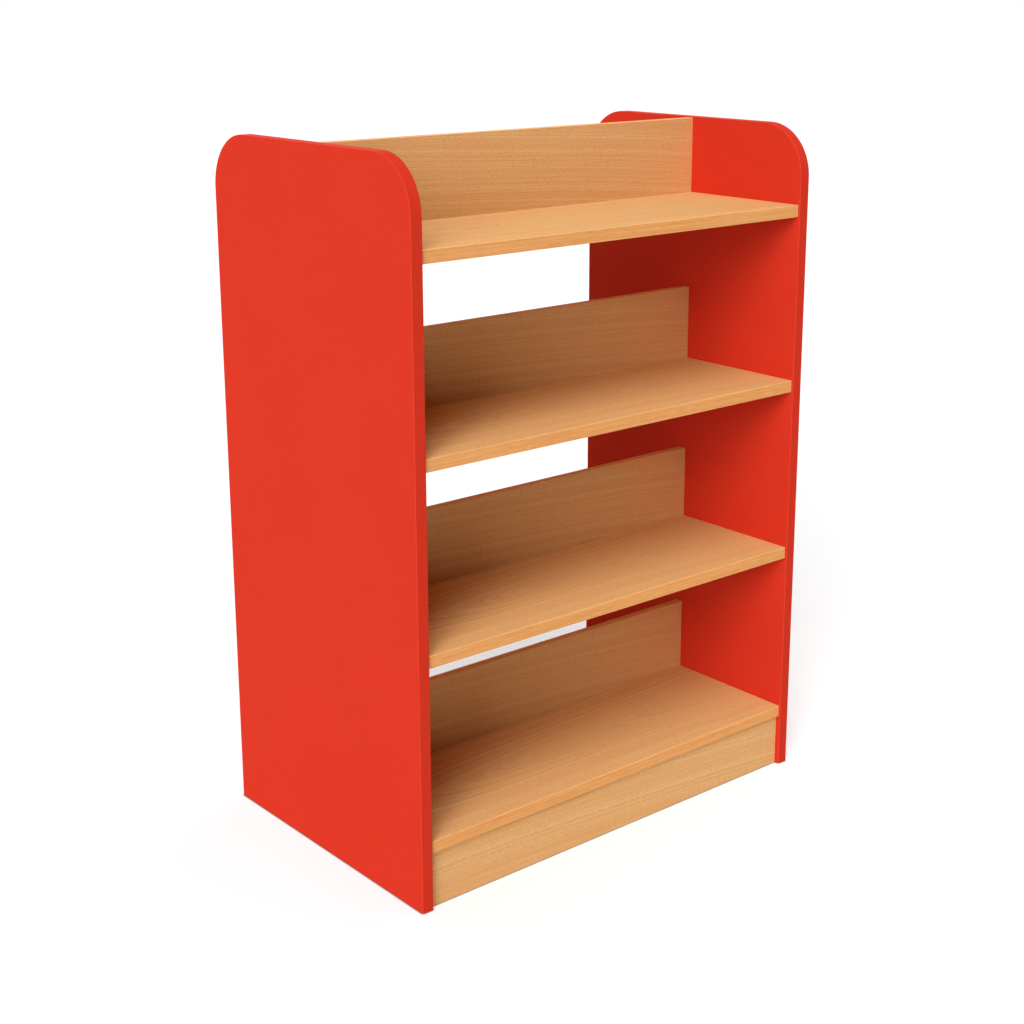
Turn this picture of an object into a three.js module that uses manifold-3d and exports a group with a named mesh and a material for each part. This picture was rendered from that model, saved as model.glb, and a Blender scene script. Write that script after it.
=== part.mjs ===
// Double sided library shelving: two red end panels with rounded top corners carry four full depth
// beech shelves, each with a low divider board along its middle, above a plinth on either side.
// Millimetres, +Z up, +X along the shelves, front at -Y, origin on the floor under the middle.
import * as THREE from "three";
import { mergeVertices } from "three/addons/utils/BufferGeometryUtils.js";
import Module from "manifold-3d";

// Overall size
const WIDTH = 900;
const DEPTH = 570;
const HEIGHT = 1250;

// End panels
const END_THICKNESS = 22;
const CORNER_RADIUS = 95;

// Shelves, counted from the floor up, set back from the end panels at front and rear
const SHELF_COUNT = 4;
const SHELF_THICKNESS = 22;
const SHELF_SETBACK = 4;

// Divider boards, the top one a little lower than the end panels
const DIVIDER_THICKNESS = 16;
const DIVIDER_HEIGHT = 142;
const DIVIDER_DROP = 2;

// Plinth boards, set back from the edges of the bottom shelf
const PLINTH_THICKNESS = 18;
const PLINTH_HEIGHT = 100;
const PLINTH_SETBACK = 6;

// Edging strips, with rounded outer arrises
const EDGING_THICKNESS = 2;
const EDGING_ARRIS = 1;

// Film of glue between two pieces that are stuck face to face
const GLUE_LINE = 0.1;

// Fluted dowels, and the blind bores that they are glued into
const DOWEL_DIAMETER = 8;
const DOWEL_LENGTH = 35;
const DOWEL_CHAMFER = 1;
const FLUTE_DEPTH = 0.4;
const FLUTE_COUNT = 10;
const BORE_CLEARANCE = 0.2;
const PANEL_BEHIND_BORE = 8;
const GLUE_SPACE = 2;
const SHELF_DOWELS = 2;
const DIVIDER_DOWELS = 1;
const PLINTH_DOWELS = 2;

// Fineness of the round stretches
const CORNER_STEPS = 8;
const ARRIS_STEPS = 2;
const BORE_SIDES = 12;

// Sizes that follow from those above
const BOARD_LENGTH = WIDTH - 2 * END_THICKNESS - 2 * GLUE_LINE;
const EDGED = EDGING_THICKNESS + GLUE_LINE;
const SHELF_DEPTH = DEPTH - 2 * SHELF_SETBACK;
const BOTTOM_SHELF_TOP = PLINTH_HEIGHT + SHELF_THICKNESS;
const TOP_SHELF_TOP = HEIGHT - DIVIDER_DROP - DIVIDER_HEIGHT;
const SHELF_PITCH = (TOP_SHELF_TOP - BOTTOM_SHELF_TOP) / (SHELF_COUNT - 1);
const DIVIDER_CORE_HEIGHT = DIVIDER_HEIGHT - GLUE_LINE - EDGED;
const PLINTH_CORE_HEIGHT = PLINTH_HEIGHT - GLUE_LINE;
const PLINTH_OFFSET = SHELF_DEPTH / 2 - PLINTH_SETBACK - PLINTH_THICKNESS / 2;
const END_OFFSET = (WIDTH - END_THICKNESS) / 2;
const BORE_LENGTH = GLUE_LINE + DOWEL_LENGTH + GLUE_SPACE;
const BORE_RADIUS = (DOWEL_DIAMETER / 2 + BORE_CLEARANCE) / Math.cos(Math.PI / BORE_SIDES);
const BORE_END = WIDTH / 2 - PANEL_BEHIND_BORE;

const SIDES = { left: -1, right: 1 };
const FACES = { front: -1, rear: 1 };

const X_AXIS = new THREE.Vector3(1, 0, 0);
const Y_AXIS = new THREE.Vector3(0, 1, 0);
const Z_AXIS = new THREE.Vector3(0, 0, 1);

const wasm = await Module();
wasm.setup();

// Materials
function redMelamine() {
  return new THREE.MeshStandardMaterial({ color: "#e13b27", roughness: 0.45, metalness: 0 });
}

function redEdging() {
  return new THREE.MeshStandardMaterial({ color: "#d23626", roughness: 0.4, metalness: 0 });
}

function beechMelamine() {
  return new THREE.MeshStandardMaterial({ color: "#e6b377", roughness: 0.5, metalness: 0 });
}

function beechEdging() {
  return new THREE.MeshStandardMaterial({ color: "#e3a765", roughness: 0.45, metalness: 0 });
}

function dowelBeech() {
  return new THREE.MeshStandardMaterial({ color: "#d8b58a", roughness: 0.8, metalness: 0 });
}

// Boolean cut of a list of tools out of a body, all given as geometries
function toSolid(geometry) {
  const bare = geometry.clone();
  bare.deleteAttribute("normal");
  bare.deleteAttribute("uv");
  const welded = mergeVertices(bare);
  const vertProperties = new Float32Array(welded.attributes.position.array);
  const triVerts = new Uint32Array(welded.index.array);
  return new wasm.Manifold(new wasm.Mesh({ numProp: 3, vertProperties, triVerts }));
}

function cut(body, tools) {
  const left = tools.reduce((solid, tool) => solid.subtract(toSolid(tool)), toSolid(body));
  const mesh = left.getMesh();
  const geometry = new THREE.BufferGeometry();
  geometry.setAttribute("position", new THREE.BufferAttribute(mesh.vertProperties, 3));
  geometry.setIndex(new THREE.BufferAttribute(mesh.triVerts, 1));
  geometry.computeVertexNormals();
  return geometry;
}

// Evenly spread places along a length, measured from its middle
function spread(count, length) {
  return Array.from({ length: count }, (_, index) => (index - (count - 1) / 2) * (length / count));
}

function shelfTop(level) {
  return BOTTOM_SHELF_TOP + (level - 1) * SHELF_PITCH;
}

function dividerCentre(level) {
  return shelfTop(level) + GLUE_LINE + DIVIDER_CORE_HEIGHT / 2;
}

// Dowel joints: each ties one end of a board to an end panel
const joints = [];

function addJoints(board, places) {
  for (const [side, sign] of Object.entries(SIDES)) {
    places.forEach(({ y, z }, index) => {
      joints.push({ name: `${board}_${side}_dowel_${index + 1}`, board, side, sign, y, z });
    });
  }
}

// One bore runs from its floor in the end panel to its blind end in the board
function bore({ sign, y, z }) {
  const geometry = new THREE.CylinderGeometry(BORE_RADIUS, BORE_RADIUS, BORE_LENGTH, BORE_SIDES);
  geometry.rotateZ(Math.PI / 2);
  geometry.translate(sign * (BORE_END - BORE_LENGTH / 2), y, z);
  return geometry;
}

function drilled(geometry, position, bored) {
  const { x, y, z } = position;
  return cut(geometry, bored.map((joint) => bore(joint).translate(-x, -y, -z)));
}

function place(parent, name, geometry, material, position) {
  const mesh = new THREE.Mesh(geometry, material);
  mesh.name = name;
  mesh.position.copy(position);
  parent.add(mesh);
}

// A board between the end panels, drilled at both ends for its dowels
function board(parent, name, depth, height, position) {
  const blank = new THREE.BoxGeometry(BOARD_LENGTH, depth, height);
  const bored = joints.filter((joint) => joint.board === name);
  place(parent, name, drilled(blank, position, bored), beechMelamine(), position);
}

// Section of an edging strip: x runs out from the board, y across the edge
function edgingSection(width) {
  const flat = EDGING_THICKNESS - EDGING_ARRIS;
  const half = width / 2;
  const turn = half - EDGING_ARRIS;
  const section = new THREE.Shape();
  section.moveTo(0, -half);
  section.lineTo(flat, -half);
  section.absarc(flat, -turn, EDGING_ARRIS, -Math.PI / 2, 0, false);
  section.absarc(flat, turn, EDGING_ARRIS, 0, Math.PI / 2, false);
  section.lineTo(0, half);
  section.closePath();
  return section;
}

// A straight edging strip along X, its outer face turned outward
function edgingStrip(parent, name, width, outward, position) {
  const options = { depth: BOARD_LENGTH, bevelEnabled: false, curveSegments: ARRIS_STEPS };
  const geometry = new THREE.ExtrudeGeometry(edgingSection(width), options);
  const across = new THREE.Vector3().crossVectors(X_AXIS, outward);
  geometry.applyMatrix4(new THREE.Matrix4().makeBasis(outward, across, X_AXIS));
  geometry.translate(-BOARD_LENGTH / 2, 0, 0);
  place(parent, name, geometry, beechEdging(), position);
}

// Edge of an end panel, drawn as (y, z) from the front foot over both rounded corners to the rear foot
function endOutline(inset, outline) {
  const edge = DEPTH / 2 - inset;
  const turn = DEPTH / 2 - CORNER_RADIUS;
  const spring = HEIGHT - CORNER_RADIUS;
  const radius = CORNER_RADIUS - inset;
  outline.moveTo(-edge, 0);
  outline.lineTo(-edge, spring);
  outline.absarc(-turn, spring, radius, Math.PI, Math.PI / 2, true);
  outline.absarc(turn, spring, radius, Math.PI / 2, 0, true);
  outline.lineTo(edge, 0);
  return outline;
}

// A run through a list of points with one station at each, so that a straight stretch stays one facet
class EdgingRun extends THREE.Curve {
  constructor(points) {
    super();
    this.points = points;
    this.last = points.length - 1;
  }

  getPointAt(u, target = new THREE.Vector3()) {
    return target.copy(this.points[Math.round(u * this.last)]);
  }

  getTangentAt(u, target = new THREE.Vector3()) {
    const station = Math.round(u * this.last);
    const here = this.points[station];
    const before = this.points[Math.max(station - 1, 0)];
    const after = this.points[Math.min(station + 1, this.last)];
    const arriving = here.clone().sub(before).normalize();
    const leaving = after.clone().sub(here).normalize();
    return target.addVectors(arriving, leaving).normalize();
  }
}

// End panels: the rounded board with its bores, and the edging wrapped round it in one length
function endPanel(parent, side) {
  const position = new THREE.Vector3(SIDES[side] * END_OFFSET, 0, 0);

  const outline = endOutline(EDGED, new THREE.Shape());
  const options = { depth: END_THICKNESS, bevelEnabled: false, curveSegments: CORNER_STEPS };
  const blank = new THREE.ExtrudeGeometry(outline, options);
  blank.applyMatrix4(new THREE.Matrix4().makeBasis(Y_AXIS, Z_AXIS, X_AXIS));
  blank.translate(-END_THICKNESS / 2, 0, 0);
  const bored = joints.filter((joint) => joint.side === side);
  place(parent, `${side}_end_panel`, drilled(blank, position, bored), redMelamine(), position);

  const stations = endOutline(EDGING_THICKNESS, new THREE.Path()).getPoints(CORNER_STEPS);
  const run = new EdgingRun(stations.map((point) => new THREE.Vector3(0, point.x, point.y)));
  const sweep = { steps: run.last, extrudePath: run, curveSegments: ARRIS_STEPS };
  const edging = new THREE.ExtrudeGeometry(edgingSection(END_THICKNESS), sweep);
  place(parent, `${side}_end_edging`, edging, redEdging(), position);
}

// Shelves: a board edged at front and rear
function addShelfJoints(level) {
  const z = shelfTop(level) - SHELF_THICKNESS / 2;
  addJoints(`shelf_${level}`, spread(SHELF_DOWELS, SHELF_DEPTH).map((y) => ({ y, z })));
}

function shelf(parent, level) {
  const name = `shelf_${level}`;
  const centre = new THREE.Vector3(0, 0, shelfTop(level) - SHELF_THICKNESS / 2);
  board(parent, name, SHELF_DEPTH - 2 * EDGED, SHELF_THICKNESS, centre);
  for (const [face, sign] of Object.entries(FACES)) {
    const outward = new THREE.Vector3(0, sign, 0);
    const seat = centre.clone().addScaledVector(outward, SHELF_DEPTH / 2 - EDGING_THICKNESS);
    edgingStrip(parent, `${name}_${face}_edging`, SHELF_THICKNESS, outward, seat);
  }
}

// Dividers: a low board along the middle of each shelf, edged along its top
function addDividerJoints(level) {
  const heights = spread(DIVIDER_DOWELS, DIVIDER_CORE_HEIGHT);
  const places = heights.map((rise) => ({ y: 0, z: dividerCentre(level) + rise }));
  addJoints(`divider_${level}`, places);
}

function divider(parent, level) {
  const name = `divider_${level}`;
  const centre = new THREE.Vector3(0, 0, dividerCentre(level));
  board(parent, name, DIVIDER_THICKNESS, DIVIDER_CORE_HEIGHT, centre);
  const seat = new THREE.Vector3(0, 0, shelfTop(level) + DIVIDER_HEIGHT - EDGING_THICKNESS);
  edgingStrip(parent, `${name}_top_edging`, DIVIDER_THICKNESS, Z_AXIS, seat);
}

// Plinths: a board on the floor under each long side of the bottom shelf
function addPlinthJoints(face) {
  const y = FACES[face] * PLINTH_OFFSET;
  const heights = spread(PLINTH_DOWELS, PLINTH_CORE_HEIGHT);
  addJoints(`${face}_plinth`, heights.map((rise) => ({ y, z: PLINTH_CORE_HEIGHT / 2 + rise })));
}

function plinth(parent, face) {
  const centre = new THREE.Vector3(0, FACES[face] * PLINTH_OFFSET, PLINTH_CORE_HEIGHT / 2);
  board(parent, `${face}_plinth`, PLINTH_THICKNESS, PLINTH_CORE_HEIGHT, centre);
}

// Dowels: fluted along their length and chamfered at both ends, driven home into the end panels
function dowelGeometry() {
  const ridge = DOWEL_DIAMETER / 2;
  const points = Array.from({ length: 2 * FLUTE_COUNT }, (_, index) => {
    const radius = index % 2 === 0 ? ridge : ridge - FLUTE_DEPTH;
    const angle = (index * Math.PI) / FLUTE_COUNT;
    return new THREE.Vector2(radius * Math.cos(angle), radius * Math.sin(angle));
  });
  const geometry = new THREE.ExtrudeGeometry(new THREE.Shape(points), {
    depth: DOWEL_LENGTH - 2 * DOWEL_CHAMFER,
    bevelThickness: DOWEL_CHAMFER,
    bevelSize: DOWEL_CHAMFER,
    bevelOffset: -DOWEL_CHAMFER,
    bevelSegments: 1,
  });
  geometry.translate(0, 0, DOWEL_CHAMFER - DOWEL_LENGTH / 2);
  geometry.rotateY(Math.PI / 2);
  return geometry;
}

function dowel(parent, joint) {
  const home = BORE_END - GLUE_LINE - DOWEL_LENGTH / 2;
  const position = new THREE.Vector3(joint.sign * home, joint.y, joint.z);
  place(parent, joint.name, dowelGeometry(), dowelBeech(), position);
}

// Assembly: the joints are laid out first, because the boards on both sides of one share its bore
const shelving = new THREE.Group();
const levels = Array.from({ length: SHELF_COUNT }, (_, index) => index + 1);
levels.forEach(addShelfJoints);
levels.forEach(addDividerJoints);
Object.keys(FACES).forEach(addPlinthJoints);

Object.keys(SIDES).forEach((side) => endPanel(shelving, side));
levels.forEach((level) => shelf(shelving, level));
levels.forEach((level) => divider(shelving, level));
Object.keys(FACES).forEach((face) => plinth(shelving, face));
joints.forEach((joint) => dowel(shelving, joint));

export default shelving;
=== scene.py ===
"""Looks of the double sided library shelving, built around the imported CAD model, in metres.

The boards and the dowels keep their CAD shapes and get their finishes here. The edging strips are
modelled anew, because their rounded arrises catch the light.
"""
import math

import bpy
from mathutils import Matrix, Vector


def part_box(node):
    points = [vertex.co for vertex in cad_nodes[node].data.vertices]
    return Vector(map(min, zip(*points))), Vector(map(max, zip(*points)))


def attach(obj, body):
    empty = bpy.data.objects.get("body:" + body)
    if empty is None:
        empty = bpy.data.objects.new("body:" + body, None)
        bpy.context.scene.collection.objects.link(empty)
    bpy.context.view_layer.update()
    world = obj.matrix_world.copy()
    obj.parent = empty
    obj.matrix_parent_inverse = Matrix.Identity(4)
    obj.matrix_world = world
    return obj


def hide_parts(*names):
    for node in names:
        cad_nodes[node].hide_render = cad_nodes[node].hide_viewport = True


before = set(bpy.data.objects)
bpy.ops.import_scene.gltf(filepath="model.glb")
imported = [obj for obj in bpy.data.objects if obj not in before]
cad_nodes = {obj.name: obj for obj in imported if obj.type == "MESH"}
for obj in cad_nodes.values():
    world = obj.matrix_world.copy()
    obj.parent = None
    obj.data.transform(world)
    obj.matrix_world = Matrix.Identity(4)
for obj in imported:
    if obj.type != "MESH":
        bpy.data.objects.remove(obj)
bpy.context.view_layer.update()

MM = 0.001
NEAR = 0.01 * MM
ENDS = ("left", "right")
FACES = ("front", "rear")
LEVELS = (1, 2, 3, 4)
X, Y, Z = 0, 1, 2


# Edging strips

ARRIS_RADIUS = 1 * MM
ARRIS_STEPS = 4
CORNER_STEPS = 40
# An end strip reaches a little into the CAD board, whose round corners are made of short flats.
STRIP_THICKNESS = 2.5 * MM
# An end strip is scraped this far below the faces of its board.
SCRAPED_BELOW = 0.05 * MM
SMOOTH_ANGLE = math.radians(35)


def is_at(points, axis, place):
    """True where all the points lie at one place along an axis."""
    return all(abs(point.co[axis] - place) < NEAR for point in points)


def block(low, high):
    """A new block between two corners, with its place in its mesh, the only thing selected."""
    bpy.ops.object.select_all(action="DESELECT")
    bpy.ops.mesh.primitive_cube_add(size=1, location=(low + high) / 2, scale=high - low)
    bpy.ops.object.transform_apply(location=True, rotation=True, scale=True)
    return bpy.context.object


def select_only(piece, kind, is_wanted):
    """Opens edit mode with just the wanted edges or faces selected, judged by their points."""
    bpy.ops.object.mode_set(mode="EDIT")
    bpy.ops.mesh.select_mode(type=kind)
    bpy.ops.mesh.select_all(action="DESELECT")
    bpy.ops.object.mode_set(mode="OBJECT")
    mesh = piece.data
    items = mesh.edges if kind == "EDGE" else mesh.polygons
    for item in items:
        item.select = is_wanted([mesh.vertices[index] for index in item.vertices])
    bpy.ops.object.mode_set(mode="EDIT")


def round_off(radius, steps):
    """Rounds the selected edges and closes edit mode."""
    bpy.ops.mesh.bevel(offset=radius, segments=steps, affect="EDGES", clamp_overlap=False)
    bpy.ops.object.mode_set(mode="OBJECT")


def round_arrises(strip, is_arris):
    """Rounds a strip's arrises and shades them smooth, with flat faces between them."""
    select_only(strip, "EDGE", is_arris)
    round_off(ARRIS_RADIUS, ARRIS_STEPS)
    bpy.ops.object.shade_smooth_by_angle(angle=SMOOTH_ANGLE)
    flats = strip.modifiers.new("flats", "WEIGHTED_NORMAL")
    flats.keep_sharp = True
    bpy.ops.object.modifier_apply(modifier=flats.name)


def end_strip(node):
    """The strip round an end panel: up the front, over both round corners, down the rear."""
    low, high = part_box(node)
    places = [vertex.co for vertex in cad_nodes[node].data.vertices]
    front_top = max(place.z for place in places if abs(place.y - low.y) < NEAR)
    corner_radius = high.z - front_top
    scrape = Vector((SCRAPED_BELOW, 0, 0))
    low, high = low + scrape, high - scrape
    strip = block(low, high)
    select_only(strip, "EDGE", lambda ends: is_at(ends, Z, high.z) and is_at(ends, Y, ends[0].co.y))
    round_off(corner_radius, CORNER_STEPS)
    sides_and_foot = ((X, low.x), (X, high.x), (Z, low.z))
    select_only(strip, "FACE", lambda points: any(is_at(points, *side) for side in sides_and_foot))
    bpy.ops.mesh.delete(type="FACE")
    bpy.ops.object.mode_set(mode="OBJECT")
    outer_points = len(strip.data.vertices)
    wall = strip.modifiers.new("wall", "SOLIDIFY")
    wall.thickness = STRIP_THICKNESS
    wall.offset = -1
    wall.use_even_offset = True
    bpy.ops.object.modifier_apply(modifier=wall.name)

    # The wall's inner points come after the outer ones, so an outer arris has two low numbers.
    def is_outer_arris(ends):
        outside = all(point.index < outer_points for point in ends)
        return outside and (is_at(ends, X, low.x) or is_at(ends, X, high.x))

    round_arrises(strip, is_outer_arris)
    return strip


def straight_strip(node, axis, is_high_side):
    """A strip along a board, rounded along the two arrises of its outer face."""
    low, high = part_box(node)
    outer_place = high[axis] if is_high_side else low[axis]
    across = Z if axis == Y else Y
    strip = block(low, high)

    def is_outer_arris(ends):
        return is_at(ends, axis, outer_place) and is_at(ends, across, ends[0].co[across])

    round_arrises(strip, is_outer_arris)
    return strip


def stick_on(strip, nodes):
    """A strip made for the first CAD node takes its place, and copies of it take those of the others.

    Each copy has its own mesh, moved as its CAD node lies from the first one.
    """
    strips = [strip]
    for node in nodes[1:]:
        bpy.ops.object.select_all(action="DESELECT")
        strip.select_set(True)
        bpy.context.view_layer.objects.active = strip
        bpy.ops.object.duplicate()
        copied = bpy.context.object
        copied.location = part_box(node)[0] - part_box(nodes[0])[0]
        bpy.ops.object.transform_apply(location=True, rotation=True, scale=True)
        strips.append(copied)
    for piece, node in zip(strips, nodes):
        piece.name = node + "_strip"
        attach(piece, "root")
        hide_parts(node)
    return strips


end_edgings = [f"{end}_end_edging" for end in ENDS]
front_edgings = [f"shelf_{level}_front_edging" for level in LEVELS]
rear_edgings = [f"shelf_{level}_rear_edging" for level in LEVELS]
top_edgings = [f"divider_{level}_top_edging" for level in LEVELS]
red_strips = stick_on(end_strip(end_edgings[0]), end_edgings)
beech_strips = [
    *stick_on(straight_strip(front_edgings[0], Y, False), front_edgings),
    *stick_on(straight_strip(rear_edgings[0], Y, True), rear_edgings),
    *stick_on(straight_strip(top_edgings[0], Z, True), top_edgings)]


# Finishes

# The Mix node has a set of sockets for each kind of value, and these are the ones for colours.
SHARE, FIRST, SECOND, MIXED = 0, 6, 7, 2
# The noise textures swing about this value.
NOISE_MIDDLE = 0.5
RED = "#C73321"
DEEPER_RED = "#C4311E"
FINISH_IOR = 1.5
# The faces are matt enough that hardly any white shows on them, even at a low angle.
FINISH_SPECULAR = 0.007


def colour(code):
    """An sRGB hex code as the linear colour that a socket takes."""
    parts = [int(code[start:start + 2], 16) / 255 for start in (1, 3, 5)]
    linear = [c / 12.92 if c <= 0.04045 else ((c + 0.055) / 1.055) ** 2.4 for c in parts]
    return (*linear, 1)


def add(tree, kind, sockets=None, out=0, **settings):
    """Adds a node with its settings and links, and gives one of its outputs.

    A socket gets a number, a colour or another node's output.
    """
    node = tree.nodes.new("ShaderNode" + kind)
    for name, value in settings.items():
        setattr(node, name, value)
    for socket, value in (sockets or {}).items():
        if isinstance(value, bpy.types.NodeSocket):
            tree.links.new(value, node.inputs[socket])
        else:
            node.inputs[socket].default_value = value
    return node.outputs[out] if node.outputs else None


def new_finish(name):
    """An empty material, its node tree and the piece's own coordinates."""
    finish = bpy.data.materials.new(name)
    finish.use_nodes = True
    tree = finish.node_tree
    tree.nodes.clear()
    return finish, tree, add(tree, "TexCoord", out="Object")


def close_finish(tree, face_colour, roughness, relief):
    """The shader of a board, strip or dowel, wired to the output."""
    shader = add(tree, "BsdfPrincipled", {
        "Base Color": face_colour, "Roughness": roughness, "Normal": relief,
        "IOR": FINISH_IOR, "Specular IOR Level": FINISH_SPECULAR})
    add(tree, "OutputMaterial", {"Surface": shader})


def red_melamine():
    """Pressed red melamine: even colour, satin, with a very fine pearl texture from the press plate."""
    cloud_size = 160 * MM
    # The real pearl is finer and is drawn as coarse as it needs to show.
    pearl_size = 1.2 * MM
    pearl_depth, pearl_strength = 0.1 * MM, 0.06
    smooth_spots, rough_spots = 0.46, 0.56
    finish, tree, place = new_finish("red_melamine_board")
    cloud = add(tree, "TexNoise", {"Vector": place, "Scale": 1 / cloud_size, "Detail": 2})
    pearl = add(tree, "TexNoise", {"Vector": place, "Scale": 1 / pearl_size, "Detail": 1})
    red = add(tree, "Mix", {
        SHARE: cloud, FIRST: colour(RED), SECOND: colour(DEEPER_RED)}, MIXED, data_type="RGBA")
    rough = add(tree, "MapRange", {"Value": pearl, "To Min": smooth_spots, "To Max": rough_spots})
    relief = add(tree, "Bump", {"Height": pearl, "Strength": pearl_strength, "Distance": pearl_depth})
    close_finish(tree, red, rough, relief)
    return finish


def painted_arris_highlight(tree, place, axis):
    """Where the painted highlight goes: 1 on the rounded arrises and 0 on the faces, from how a surface
    leans along an axis.
    """
    # The slant of a surface half way round an arris.
    full_slant = 0.25
    lean = add(tree, "SeparateXYZ", {0: place.node.outputs["Normal"]}, axis)
    over = add(tree, "Math", {0: lean, 1: lean}, operation="MULTIPLY")
    level = add(tree, "Math", {0: 1, 1: over}, operation="SUBTRACT")
    slant = add(tree, "Math", {0: over, 1: level}, operation="MULTIPLY")
    return add(tree, "MapRange", {"Value": slant, "From Max": full_slant})


def red_edging():
    """Red ABS edging: the board's red, buffed smoother, with a painted highlight that makes it paler
    along its rounded arrises.
    """
    # The paler red of the painted highlight on the arrises.
    highlight_red = colour("#D7422E")
    grain_size = 3 * MM
    grain_depth, grain_strength = 0.05 * MM, 0.05
    smooth_spots, rough_spots = 0.38, 0.48
    finish, tree, place = new_finish("red_abs_edging")
    grain = add(tree, "TexNoise", {"Vector": place, "Scale": 1 / grain_size, "Detail": 2})
    red = add(tree, "Mix", {
        SHARE: grain, FIRST: colour(RED), SECOND: colour(DEEPER_RED)}, MIXED, data_type="RGBA")
    # The rounded arrises are painted paler: a painted highlight where they catch the light.
    highlight_share = painted_arris_highlight(tree, place, X)
    red = add(tree, "Mix", {SHARE: highlight_share, FIRST: red, SECOND: highlight_red}, MIXED, data_type="RGBA")
    rough = add(tree, "MapRange", {"Value": grain, "To Min": smooth_spots, "To Max": rough_spots})
    relief = add(tree, "Bump", {"Height": grain, "Strength": grain_strength, "Distance": grain_depth})
    close_finish(tree, red, rough, relief)
    return finish


def drawn_out(tree, flat, length, width, detail):
    """Blotches drawn out along the grain, of a given length and width, from -0.5 to 0.5."""
    spot = add(tree, "Mapping", {"Vector": flat, "Scale": (1 / length, 1 / width, 1)})
    blotch = add(tree, "TexNoise", {"Vector": spot, "Scale": 1, "Detail": detail}, noise_dimensions="2D")
    return add(tree, "Math", {0: blotch, 1: NOISE_MIDDLE}, operation="SUBTRACT")


def beech_board(tree, flat, ring, ring_pitch, ring_contrast):
    """The printed beech of a board: ring lines, fibre streaks, ray flecks and broad rosy bands.

    flat has the grain along its first axis, and ring is the distance from the heart of the tree.
    """
    pale, dark, rosy = colour("#E0BB81"), colour("#CB905B"), colour("#D5995F")
    wander_length, wander_width = 420 * MM, 90 * MM
    wander_depth = 8 * MM
    band_pitch = 22 * MM
    band_start, band_full = 0.3, 0.7
    band_share = 0.6
    # Real fibres and flecks are finer and are drawn as coarse as they need to show.
    fibre_length, fibre_width = 140 * MM, 1.8 * MM
    fibre_contrast = 0.5
    fleck_length, fleck_width = 8 * MM, 1.5 * MM
    fleck_contrast = 1
    pore_depth, pore_strength = 0.1 * MM, 0.05
    smooth_spots, rough_spots = 0.46, 0.54
    wander = drawn_out(tree, flat, wander_length, wander_width, 0)
    ring = add(tree, "Math", {0: wander, 1: wander_depth, 2: ring}, operation="MULTIPLY_ADD")
    line = add(tree, "TexNoise", {
        "W": ring, "Scale": 1 / ring_pitch, "Detail": 3, "Roughness": 0.9}, noise_dimensions="1D")
    band = add(tree, "TexNoise", {
        "W": ring, "Scale": 1 / band_pitch, "Detail": 1}, noise_dimensions="1D")
    fibre = drawn_out(tree, flat, fibre_length, fibre_width, 1)
    fleck = drawn_out(tree, flat, fleck_length, fleck_width, 1)
    tone = add(tree, "Math", {0: line, 1: NOISE_MIDDLE}, operation="SUBTRACT")
    tone = add(tree, "Math", {0: tone, 1: ring_contrast, 2: NOISE_MIDDLE}, operation="MULTIPLY_ADD")
    tone = add(tree, "Math", {0: fibre, 1: fibre_contrast, 2: tone}, operation="MULTIPLY_ADD")
    tone = add(tree, "Math", {0: fleck, 1: fleck_contrast, 2: tone}, operation="MULTIPLY_ADD")
    wood = add(tree, "Mix", {SHARE: tone, FIRST: pale, SECOND: dark}, MIXED, data_type="RGBA")
    blush = add(tree, "MapRange", {
        "Value": band, "From Min": band_start, "From Max": band_full, "To Max": band_share})
    wood = add(tree, "Mix", {SHARE: blush, FIRST: wood, SECOND: rosy}, MIXED, data_type="RGBA")
    rough = add(tree, "MapRange", {"Value": tone, "To Min": smooth_spots, "To Max": rough_spots})
    relief = add(tree, "Bump", {"Height": fibre, "Strength": pore_strength, "Distance": pore_depth})
    close_finish(tree, wood, rough, relief)


def shelf_beech():
    """Beech-effect melamine of the shelves: plain-sawn arches that open along the shelf.

    The lines are clear towards the divider and faint near the shelf's edge and inside the arches.
    The rear half has the print of the front half turned round, and the divider stands on the seam.
    """
    heart_line = 140 * MM
    heart_depth = 140 * MM
    heart_dip = 0.026
    ring_pitch = 3 * MM
    inside_ring, outside_ring = 138 * MM, 154 * MM
    inside_contrast, outside_contrast = 0.7, 4
    faint_side, clear_side = -105 * MM, -15 * MM
    faint_share = 0.1
    finish, tree, place = new_finish("beech_effect_shelf_board")
    along, across, _ = add(tree, "SeparateXYZ", {0: place}).node.outputs
    half = add(tree, "Math", {0: across}, operation="SIGN")
    along = add(tree, "Math", {0: along, 1: half}, operation="MULTIPLY")
    across = add(tree, "Math", {0: across}, operation="ABSOLUTE")
    flat = add(tree, "CombineXYZ", {X: along, Y: across})
    side = add(tree, "Math", {0: heart_line, 1: across}, operation="SUBTRACT")
    depth = add(tree, "Math", {0: along, 1: heart_dip, 2: heart_depth}, operation="MULTIPLY_ADD")
    spot = add(tree, "CombineXYZ", {X: side, Y: depth})
    ring = add(tree, "VectorMath", {0: spot}, "Value", operation="LENGTH")
    outside = add(tree, "MapRange", {
        "Value": ring, "From Min": inside_ring, "From Max": outside_ring,
        "To Min": inside_contrast, "To Max": outside_contrast})
    towards_divider = add(tree, "MapRange", {
        "Value": side, "From Min": faint_side, "From Max": clear_side, "To Min": faint_share})
    contrast = add(tree, "Math", {0: outside, 1: towards_divider}, operation="MULTIPLY")
    beech_board(tree, flat, ring, ring_pitch, contrast)
    return finish


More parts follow.
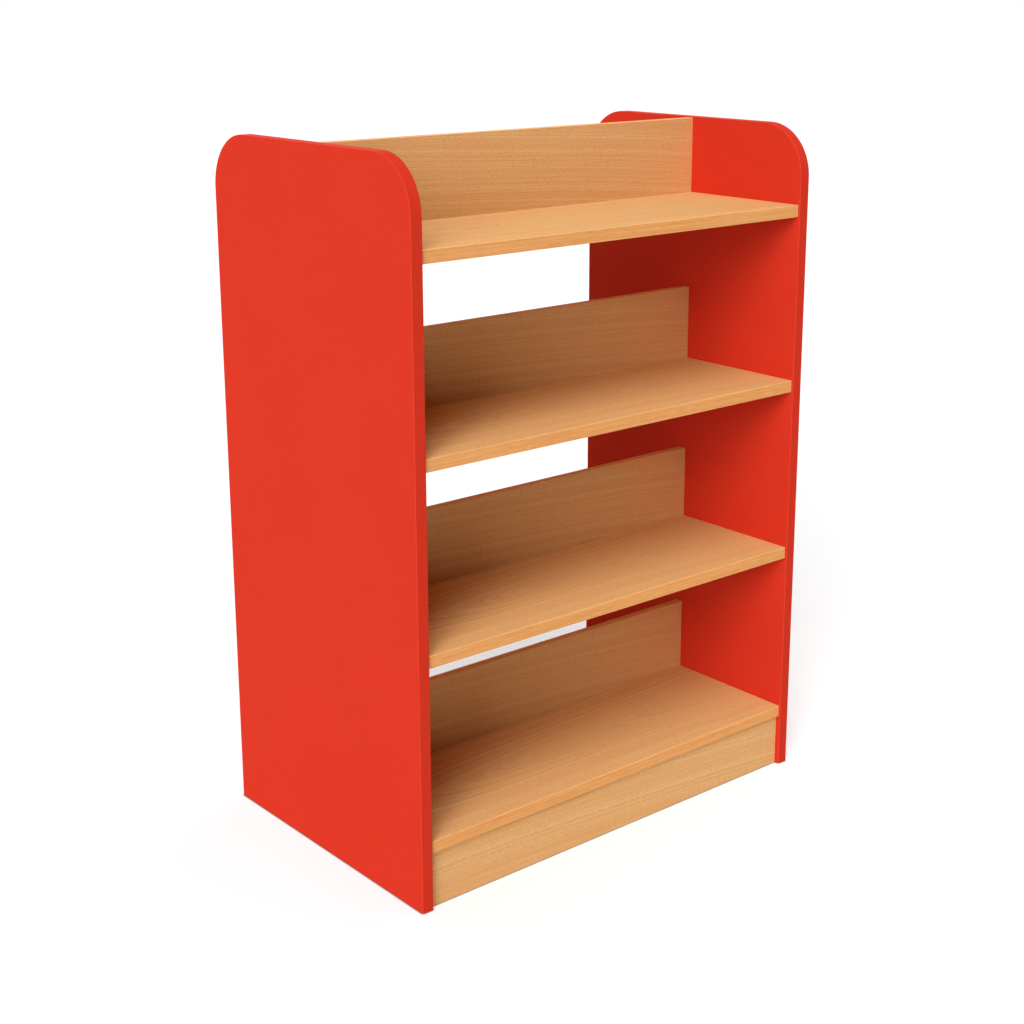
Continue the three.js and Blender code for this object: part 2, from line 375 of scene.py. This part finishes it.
def upright_beech():
    """Beech-effect melamine of dividers and plinths: near-straight lines that fall to the right.

    Every level has the same cut of the print, so the height repeats at the shelf spacing.
    """
    level_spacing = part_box("shelf_2")[0].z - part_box("shelf_1")[0].z
    fall = 0.085
    fall_start = -190 * MM
    fall_bend = 260 * MM
    ring_pitch = 4.5 * MM
    ring_contrast = 1.4
    finish, tree, place = new_finish("beech_effect_upright_board")
    along, _, height = add(tree, "SeparateXYZ", {0: place}).node.outputs
    height = add(tree, "Math", {0: height, 1: level_spacing, 2: 0}, operation="WRAP")
    flat = add(tree, "CombineXYZ", {X: along, Y: height})
    beyond = add(tree, "Math", {0: along, 1: fall_start}, operation="SUBTRACT")
    bend = add(tree, "CombineXYZ", {X: beyond, Y: fall_bend})
    bend = add(tree, "VectorMath", {0: bend}, "Value", operation="LENGTH")
    drop = add(tree, "Math", {0: beyond, 1: bend}, operation="ADD")
    ring = add(tree, "Math", {0: drop, 1: fall / 2, 2: height}, operation="MULTIPLY_ADD")
    beech_board(tree, flat, ring, ring_pitch, ring_contrast)
    return finish


def beech_edging():
    """Beech-effect ABS edging: a warmer orange in short dashes, with a painted highlight that makes it
    paler along its rounded arrises.
    """
    # The last colour is the paler one of the painted highlight on the arrises.
    pale, dark, highlight_pale = colour("#E2A66A"), colour("#D28C4C"), colour("#F3BE84")
    dash_length, dash_width = 25 * MM, 1.6 * MM
    dash_contrast = 0.8
    dash_depth, dash_strength = 0.05 * MM, 0.05
    streak_length, streak_width = 200 * MM, 2.5 * MM
    streak_contrast = 1.1
    # This turn carries the print from the face round the arris.
    print_turn = (math.radians(-45), 0, 0)
    smooth_spots, rough_spots = 0.36, 0.427
    finish, tree, place = new_finish("beech_effect_abs_edging")
    flat = add(tree, "Mapping", {"Vector": place, "Rotation": print_turn})
    dash = drawn_out(tree, flat, dash_length, dash_width, 1)
    streak = drawn_out(tree, flat, streak_length, streak_width, 1)
    tone = add(tree, "Math", {0: dash, 1: dash_contrast, 2: NOISE_MIDDLE}, operation="MULTIPLY_ADD")
    tone = add(tree, "Math", {0: streak, 1: streak_contrast, 2: tone}, operation="MULTIPLY_ADD")
    wood = add(tree, "Mix", {SHARE: tone, FIRST: pale, SECOND: dark}, MIXED, data_type="RGBA")
    # The rounded arrises are painted paler: a painted highlight where they catch the light.
    highlight_share = painted_arris_highlight(tree, place, Z)
    wood = add(tree, "Mix", {SHARE: highlight_share, FIRST: wood, SECOND: highlight_pale}, MIXED, data_type="RGBA")
    rough = add(tree, "MapRange", {
        "Value": dash, "From Min": -NOISE_MIDDLE, "From Max": NOISE_MIDDLE,
        "To Min": smooth_spots, "To Max": rough_spots})
    relief = add(tree, "Bump", {"Height": dash, "Strength": dash_strength, "Distance": dash_depth})
    close_finish(tree, wood, rough, relief)
    return finish


def dowel_beech():
    """Bare turned beech of the dowels: pale, dull, with fine grain along the pin."""
    pale, dark = colour("#E3C193"), colour("#CDA271")
    grain_length, grain_width = 20 * MM, 1 * MM
    grain_depth, grain_strength = 0.1 * MM, 0.3
    smooth_spots, rough_spots = 0.7, 0.85
    finish, tree, place = new_finish("bare_beech")
    along_pin = add(tree, "Mapping", {
        "Vector": place, "Scale": (1 / grain_length, 1 / grain_width, 1 / grain_width)})
    grain = add(tree, "TexNoise", {"Vector": along_pin, "Scale": 1, "Detail": 2})
    wood = add(tree, "Mix", {SHARE: grain, FIRST: pale, SECOND: dark}, MIXED, data_type="RGBA")
    rough = add(tree, "MapRange", {"Value": grain, "To Min": smooth_spots, "To Max": rough_spots})
    relief = add(tree, "Bump", {"Height": grain, "Strength": grain_strength, "Distance": grain_depth})
    close_finish(tree, wood, rough, relief)
    return finish


def dress(pieces, finish):
    """Puts one finish on each piece."""
    for piece in pieces:
        piece.data.materials.clear()
        piece.data.materials.append(finish)


uprights = [f"divider_{level}" for level in LEVELS] + [f"{face}_plinth" for face in FACES]
dress([cad_nodes[f"{end}_end_panel"] for end in ENDS], red_melamine())
dress(red_strips, red_edging())
dress([cad_nodes[f"shelf_{level}"] for level in LEVELS], shelf_beech())
dress([cad_nodes[name] for name in uprights], upright_beech())
dress(beech_strips, beech_edging())
dress([piece for name, piece in cad_nodes.items() if "_dowel_" in name], dowel_beech())


# Floor

FLOOR_SIZE = 60
# The share of the light that the floor gives back to the object.
FLOOR_BOUNCE = 0.82
# To the eye the floor is part lit paper, which takes the shadow, and part an even glow.
FLOOR_LIT = 0.6
FLOOR_GLOW = 0.36


def shown_rays(tree):
    """1 for rays that show the studio to the eye, straight or in a shiny face, and 0 for its light."""
    rays = add(tree, "LightPath").node.outputs
    mirrored = add(tree, "Math", {
        0: rays["Is Glossy Ray"], 1: rays["Is Transmission Ray"]}, operation="MAXIMUM")
    return add(tree, "Math", {0: rays["Is Camera Ray"], 1: mirrored}, operation="MAXIMUM")


def white_paper():
    """Matt white paper: a plain bounce for the object, and near white with a soft shadow to the eye.

    To the eye it darkens in a thin line right under the object, where it is half closed in.
    """
    line_width = 5 * MM
    closed_in, open_floor = 0.55, 0.95
    line_shade = 0.08
    finish, tree, _ = new_finish("white_paper")
    paper = add(tree, "BsdfDiffuse", {"Color": (FLOOR_BOUNCE, FLOOR_BOUNCE, FLOOR_BOUNCE, 1)})
    openness = add(tree, "AmbientOcclusion", {"Distance": line_width}, "AO")
    contact = add(tree, "MapRange", {
        "Value": openness, "From Min": closed_in, "From Max": open_floor, "To Min": line_shade})
    shade = add(tree, "Math", {0: contact, 1: FLOOR_LIT}, operation="MULTIPLY")
    glow = add(tree, "Math", {0: contact, 1: FLOOR_GLOW}, operation="MULTIPLY")
    shaded = add(tree, "BsdfDiffuse", {"Color": shade})
    glowing = add(tree, "Emission", {"Strength": glow})
    seen = add(tree, "AddShader", {0: shaded, 1: glowing})
    both = add(tree, "MixShader", {0: shown_rays(tree), 1: paper, 2: seen})
    add(tree, "OutputMaterial", {"Surface": both})
    return finish


bpy.ops.object.select_all(action="DESELECT")
bpy.ops.mesh.primitive_plane_add(size=FLOOR_SIZE)
floor = bpy.context.object
floor.name = "floor"
dress([floor], white_paper())


# Studio light and backdrop

def soft_lamp(name, azimuth, elevation, spread, level):
    """A wide distant lamp, its angles in degrees: azimuth 0 is the front and 90 the right.

    Level 1 lights a white card that faces the lamp to white.
    """
    turn, rise = math.radians(azimuth), math.radians(elevation)
    flat_reach = math.cos(rise)
    towards = Vector((math.sin(turn) * flat_reach, -math.cos(turn) * flat_reach, math.sin(rise)))
    bpy.ops.object.light_add(type="SUN", rotation=towards.to_track_quat("Z", "Y").to_euler())
    lamp = bpy.context.object
    lamp.name = name
    lamp.data.angle = math.radians(spread)
    lamp.data.energy = level * math.pi


soft_lamp("left_low", azimuth=290, elevation=8, spread=24, level=0.18)
soft_lamp("left_key", azimuth=299, elevation=22, spread=24, level=0.42)
soft_lamp("left_middle", azimuth=312, elevation=36, spread=24, level=0.23)
soft_lamp("left_high", azimuth=306, elevation=50, spread=24, level=0.24)
soft_lamp("top_front", azimuth=332, elevation=66, spread=24, level=0.20)
soft_lamp("overhead", azimuth=0, elevation=84, spread=40, level=0.25)
soft_lamp("rear_right", azimuth=100, elevation=44, spread=36, level=0.12)
soft_lamp("rear_left", azimuth=200, elevation=44, spread=36, level=0.12)
soft_lamp("right_fill", azimuth=90, elevation=15, spread=30, level=0.3)
soft_lamp("rear_fill", azimuth=180, elevation=15, spread=30, level=0.3)

scene = bpy.context.scene
scene.world = bpy.data.worlds.new("white_studio")
scene.world.use_nodes = True
studio = scene.world.node_tree
studio.nodes.clear()
backdrop = add(studio, "Background", {"Color": colour("#FFFFFF"), "Strength": shown_rays(studio)})
add(studio, "OutputWorld", {"Surface": backdrop})
scene.view_settings.view_transform = "Standard"


# Camera, fitted to the object's edges in the photograph

FRAME_PIXELS = 1024
FOCAL_PIXELS = 1703.54
SENSOR_WIDTH = 36
CAMERA_PLACE = (-1.95294, -2.33589, 1.48795)
CAMERA_TURN = (75.3886, 0, -40.3961)
SHIFT_RIGHT_PIXELS = -22.13
SHIFT_UP_PIXELS = -79.5

camera_rotation = [math.radians(turn) for turn in CAMERA_TURN]
bpy.ops.object.camera_add(location=CAMERA_PLACE, rotation=camera_rotation)
camera = bpy.context.object
camera.name = "camera"
camera.data.sensor_width = SENSOR_WIDTH
camera.data.lens = FOCAL_PIXELS * SENSOR_WIDTH / FRAME_PIXELS
camera.data.shift_x = SHIFT_RIGHT_PIXELS / FRAME_PIXELS
camera.data.shift_y = SHIFT_UP_PIXELS / FRAME_PIXELS
scene.camera = camera
